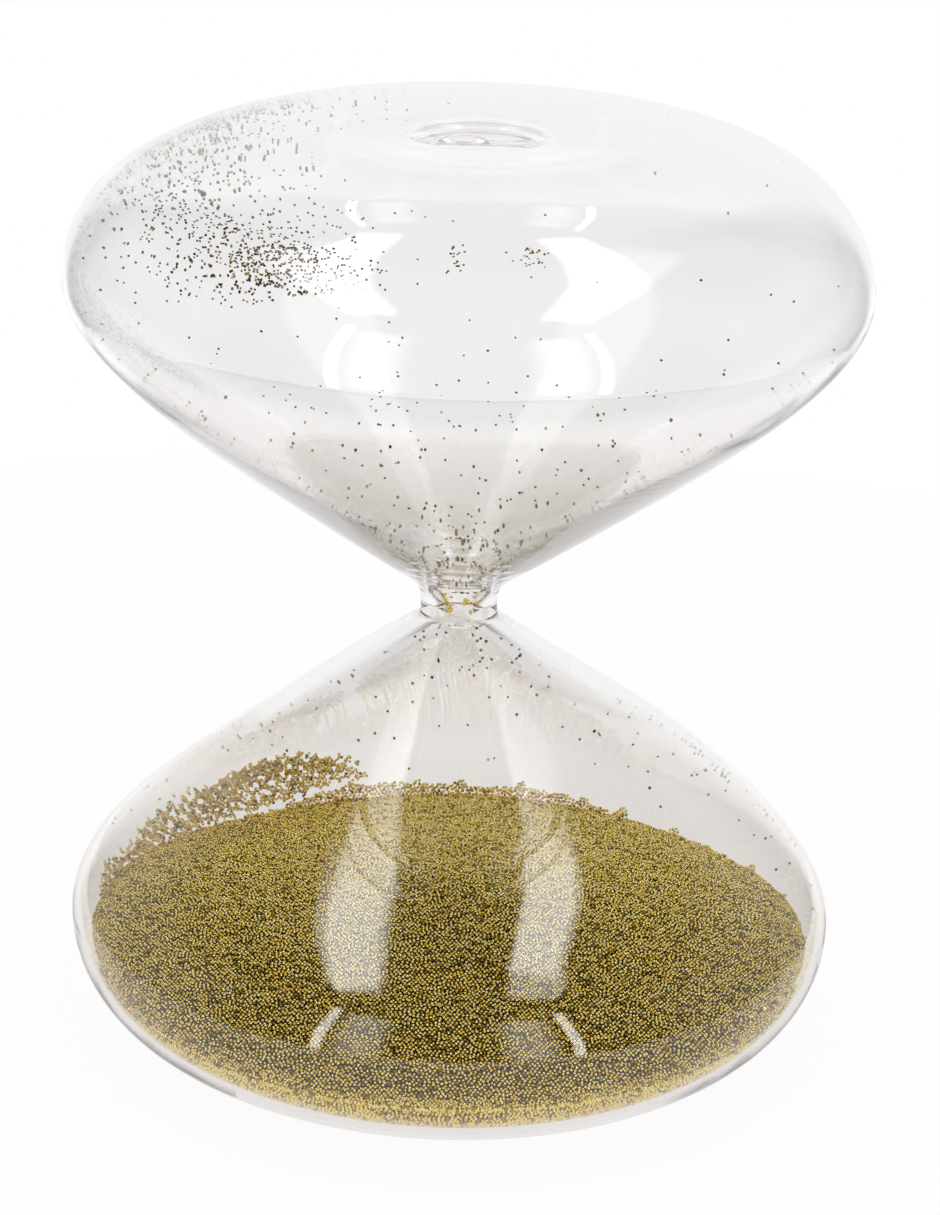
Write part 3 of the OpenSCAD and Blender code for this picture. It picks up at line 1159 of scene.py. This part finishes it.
@dataclass
class Studio:
    """Table, backdrop, lamps and camera. None of it is part of the object."""

    shape: GlassShape
    table_radius: float = 0.35
    table_thick: float = 0.004
    table_steps: int = 160
    sensor: float = 36.0
    near_clip: float = 0.01
    lens: float = 115.25
    distance: float = 0.719
    elevation: float = math.radians(20.4)
    roll: float = math.radians(1.82)
    shift: Span = (0.00905, -0.0041)
    overhead: tuple[Lamp, ...] = (
        Lamp((-0.45, -0.13, 1.086), 0.32, 1.10, 4.9, 0.14, 0.20, (-0.01, 0.25)),
        Lamp((0.45, -0.13, 1.086), 0.32, 1.10, 4.9, 0.14, 0.20, (-0.01, 0.25)),
    )
    standing: tuple[Lamp, ...] = (
        Lamp((-0.70, -0.96, 0.40), 0.07, 1.40, 5.0, 0.2),
        Lamp((0.72, -0.94, 0.40), 0.07, 1.40, 5.0, 0.2),
        Lamp((-0.50, -1.10, 0.40), 0.42, 1.30, 1.8, 0.42),
        Lamp((0.50, -1.10, 0.40), 0.42, 1.30, 1.8, 0.42),
    )
    ambient: Colour = (0.50, 0.50, 0.50, 1.0)
    wall_side: float = 1.6
    wall_end: Span = (-0.1, 0.3)
    wall_top: Span = (0.45, 1.15)
    wall_foot: Span = (-0.28, -0.17)
    side_top: Span = (0.35, 0.7)
    side_end: Span = (-0.5, -0.1)
    painted_shadow_reach: Span = (0.06, 0.26)
    table_rim: Span = (0.28, 0.32)
    camera_white: float = 0.95
    foot_grey: Colour = (1.03, 1.025, 1.03, 1.0)
    wall_grey: Colour = (0.93, 0.925, 0.93, 1.0)
    side_grey: Colour = (0.47, 0.465, 0.465, 1.0)
    room_grey: Colour = (0.11, 0.105, 0.10, 1.0)
    # A painted shadow: the table's grey beside the object, as it shows in the glass.
    painted_shadow_grey: Colour = (0.80, 0.765, 0.745, 1.0)
    table_grey: Colour = (1.02, 1.005, 1.0, 1.0)
    rim_grey: Colour = (0.87, 0.865, 0.865, 1.0)
    # Painted shade on the table's side face.
    edge_shade_grey: Colour = (0.74, 0.72, 0.71, 1.0)
    bounces: int = 64

    def camera(self) -> None:
        """Makes the camera, which looks along +Y and down at the neck."""
        made = added(bpy.ops.object.camera_add)
        made.matrix_world = (
            Matrix.Translation((0, 0, self.shape.neck_z))
            @ Matrix.Rotation(math.pi / 2 - self.elevation, 4, "X")
            @ Matrix.Translation((0, 0, self.distance))
            @ Matrix.Rotation(self.roll, 4, "Z")
        )
        made.data.lens = self.lens
        made.data.sensor_width = self.sensor
        made.data.shift_x, made.data.shift_y = self.shift
        made.data.clip_start = self.near_clip
        bpy.context.scene.camera = made

    def world(self) -> None:
        """Makes the backdrop: white to the camera, and the studio's own greys in the glass."""
        world = bpy.data.worlds.new("studio")
        bpy.context.scene.world = world
        board = Board(world)
        way = board.node("TexCoord").outputs["Generated"]
        parts = board.node("SeparateXYZ", None, {0: way}).outputs
        x, y, up = (Socket(board, part) for part in parts)
        aside = x.most(x * -1)
        facing = (y - aside * self.wall_side).step(*self.wall_end).most(1 - board.mirrored())
        behind = facing * (1 - up.step(*self.wall_top))
        beside = (1 - up.step(*self.side_top)) * y.step(*self.side_end)
        room = board.blend(beside, self.room_grey, self.side_grey)
        wall = board.blend(up.step(*self.wall_foot), self.foot_grey, self.wall_grey)
        seen = board.blend(behind, room, wall)
        shown = board.ray(Ray.GLOSSY, Ray.TRANSMISSION)
        colour = board.blend(shown, self.ambient, seen)
        colour = board.blend(board.ray(Ray.CAMERA), colour, WHITE)
        light = board.node("Background", None, {"Color": colour, "Strength": 1.0})
        board.finish(light, "OutputWorld")

    def white(self, name: str, near: Colour, far: Colour, rim: Colour) -> Material:
        """A finish of the table: white with the object's shadow, and greys in the glass.

        Args:
            name: The material's name.
            near: The grey beside the object, a painted shadow that shows in the glass.
            far: The grey away from it.
            rim: The grey at the table's rim.

        Returns:
            The material.
        """
        board = Board(bpy.data.materials.new(name))
        where = board.node("TexCoord").outputs["Object"]
        away = board.node("VectorMath", {"operation": "LENGTH"}, {0: where})
        away = Socket(board, away.outputs["Value"])
        # Painted shadow: greyer near the object, lighter further out.
        grey = board.blend(away.step(*self.painted_shadow_reach), near, far)
        grey = board.blend(away.step(*self.table_rim), grey, rim)
        matt = board.node("BsdfDiffuse", None, {"Color": WHITE})
        plain = board.mix(board.ray(Ray.GLOSSY, Ray.TRANSMISSION), matt, board.glow(grey))
        share = board.ray(Ray.CAMERA) * self.camera_white
        return board.finish(board.mix(share, plain, board.glow(WHITE)))

    def table(self) -> None:
        """Makes the round white table top."""
        made = added(
            bpy.ops.mesh.primitive_cylinder_add,
            vertices=self.table_steps,
            radius=self.table_radius,
            depth=self.table_thick,
            location=(0, 0, -self.table_thick / 2),
        )
        made.name = "table"
        bpy.ops.object.transform_apply(location=True, rotation=True, scale=True)
        for name, *greys in (
            ("white_table", self.painted_shadow_grey, self.table_grey, self.rim_grey),
            # The side face gets a darker grey as painted shade.
            ("table_edge", self.edge_shade_grey, self.edge_shade_grey, self.edge_shade_grey),
        ):
            made.data.materials.append(self.white(name, *greys))
        for face in made.data.polygons:
            face.material_index = int(abs(face.normal.z) < 0.5)

    def lamps(self) -> None:
        """Makes the two long soft boxes overhead, and the strips and panels that stand in front."""
        neck = Vector((0, 0, self.shape.neck_z))
        for lamp in self.overhead:
            lamp.build(neck, True)
        for lamp in self.standing:
            lamp.build(neck, False)

    def build(self) -> None:
        """Makes the whole studio."""
        self.camera()
        self.world()
        self.table()
        self.lamps()
        scene = bpy.context.scene
        scene.view_settings.view_transform = "Standard"
        scene.cycles.max_bounces = self.bounces
        scene.cycles.transmission_bounces = self.bounces
        scene.cycles.glossy_bounces = self.bounces


UPPER_PATCHES = (
    Patch(300, 124, 14, 0.045, 0.054),
    Patch(260, 129, 18, 0.047, 0.058),
    Patch(130, 136, 24, 0.048, 0.062),
    Patch(480, 138, 24, 0.058, 0.081, 0.8),
    Patch(60, 140, 60, 0.05, 0.084),
    Patch(20, 92.2, 1.6, 0.0485, 0.0545),
    Patch(26, 79.7, 3, 0.0505, 0.0545),
    Patch(70, 270, 260, 0.0052, 0.0060),
    Patch(60, 270, 260, 0.0078, 0.0084),
    Patch(110, 90, 90, 0.008, 0.032, 1.2),
    Patch(80, 270, 140, 0.006, 0.03),
    Patch(90, 270, 300, 0.01, 0.06),
    Patch(50, 90, 150, 0.02, 0.075),
)
NECK_PATCHES = (
    Patch(30, 218, 30, -0.0008, 0.0018),
    Patch(16, 190, 60, 0.0015, 0.004),
    Patch(12, 300, 50, 0.0015, 0.0035),
)
LOWER_PATCHES = (
    Patch(26, 270, 150, 0.004, 0.010),
    Patch(50, 270, 200, 0.008, 0.03),
    Patch(60, 20, 60, 0.03, 0.058),
    Patch(40, 150, 90, 0.02, 0.05),
)
# The first, darkest finish is painted shade: single clinging beads look dark against the light
# behind them.
STRAY_GOLDS = (
    Gold("shade_darkened_bead", (0.12, 0.095, 0.06, 1.0), 0.5),
    Gold("dull_gold", (0.36, 0.27, 0.11, 1.0), 0.4),
    Gold("stray_gold", (0.70, 0.52, 0.16, 1.0), 0.3),
)


def main() -> None:
    """Builds the hourglass on its frame, and the studio round it."""
    logging.basicConfig(level=logging.INFO, format="%(message)s")
    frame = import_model()
    shape = GlassShape()
    bead = BeadKind()
    bead.model()
    Studio(shape).build()
    log.info("vessel: %s", Vessel(shape, ClearGlass()).build().name)
    heap = Heap(shape, bead, PaintedShadeGold())
    log.info("charge: %d pieces", len(heap.build()))
    Drift(heap).build()
    stray = BeadKind(0.00027, 0.2, STRAY_GOLDS, (0.45, 0.4, 0.15))
    stray.model()
    for kind, name, node, upper, patches, seed in (
        (stray, "upper_strays", "upper_clinging_beads", True, UPPER_PATCHES, 31),
        (stray, "lower_strays", "lower_clinging_beads", False, LOWER_PATCHES, 32),
        (bead, "neck_beads", "lip_beads", True, NECK_PATCHES, 33),
    ):
        ClingingBeads(shape, kind, name, node, upper, patches, seed).build()
    loose = frame["nodes"]["loose_bead"]
    loose.data.materials.clear()
    loose.data.materials.append(bead.materials[1])


if __name__ == "__main__":
    main()
